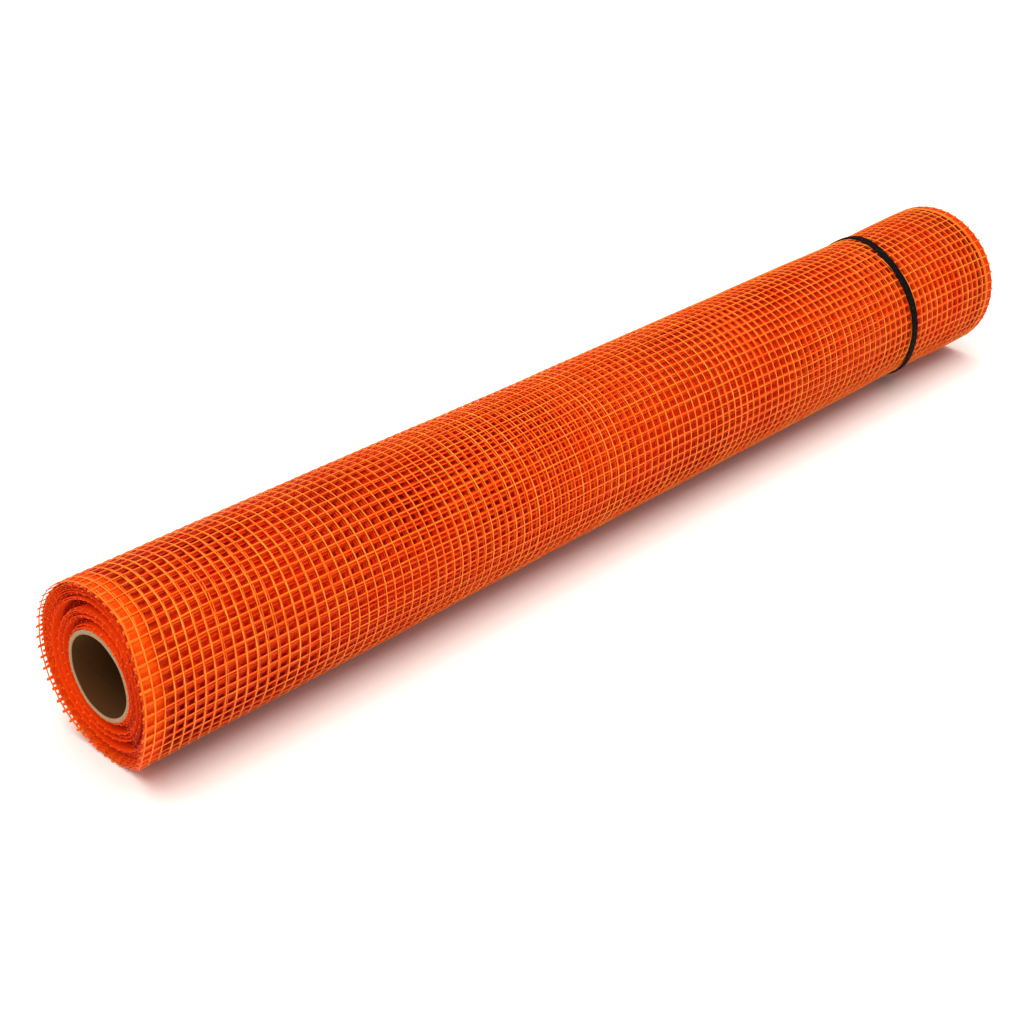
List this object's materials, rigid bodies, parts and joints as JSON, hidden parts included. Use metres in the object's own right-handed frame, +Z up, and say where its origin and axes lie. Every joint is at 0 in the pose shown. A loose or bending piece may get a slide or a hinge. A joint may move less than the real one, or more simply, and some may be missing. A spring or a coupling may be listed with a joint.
{
  "type": "roll of fiberglass mesh",
  "caption": "Open square-mesh coated glass-fibre fabric wound on a cardboard tube and held near one end by a black elastic band.",
  "frame": {"origin": "on the floor under the middle of the roll", "axes": "+X along the roll towards the end with the band, +Z up"},
  "size_m": [1, 0.1386, 0.1386],
  "materials": {
    "coated_glass_mesh": "orange alkali-resistant polymer coating on woven glass yarns, slightly glossy",
    "cardboard": "spirally wound brown paper board",
    "black_elastic": "matt black rubber"
  },
  "bodies": {
    "root": {"mesh_roll": "coated_glass_mesh", "core_tube": "cardboard", "elastic_band": "black_elastic"}
  },
  "joints": []
}
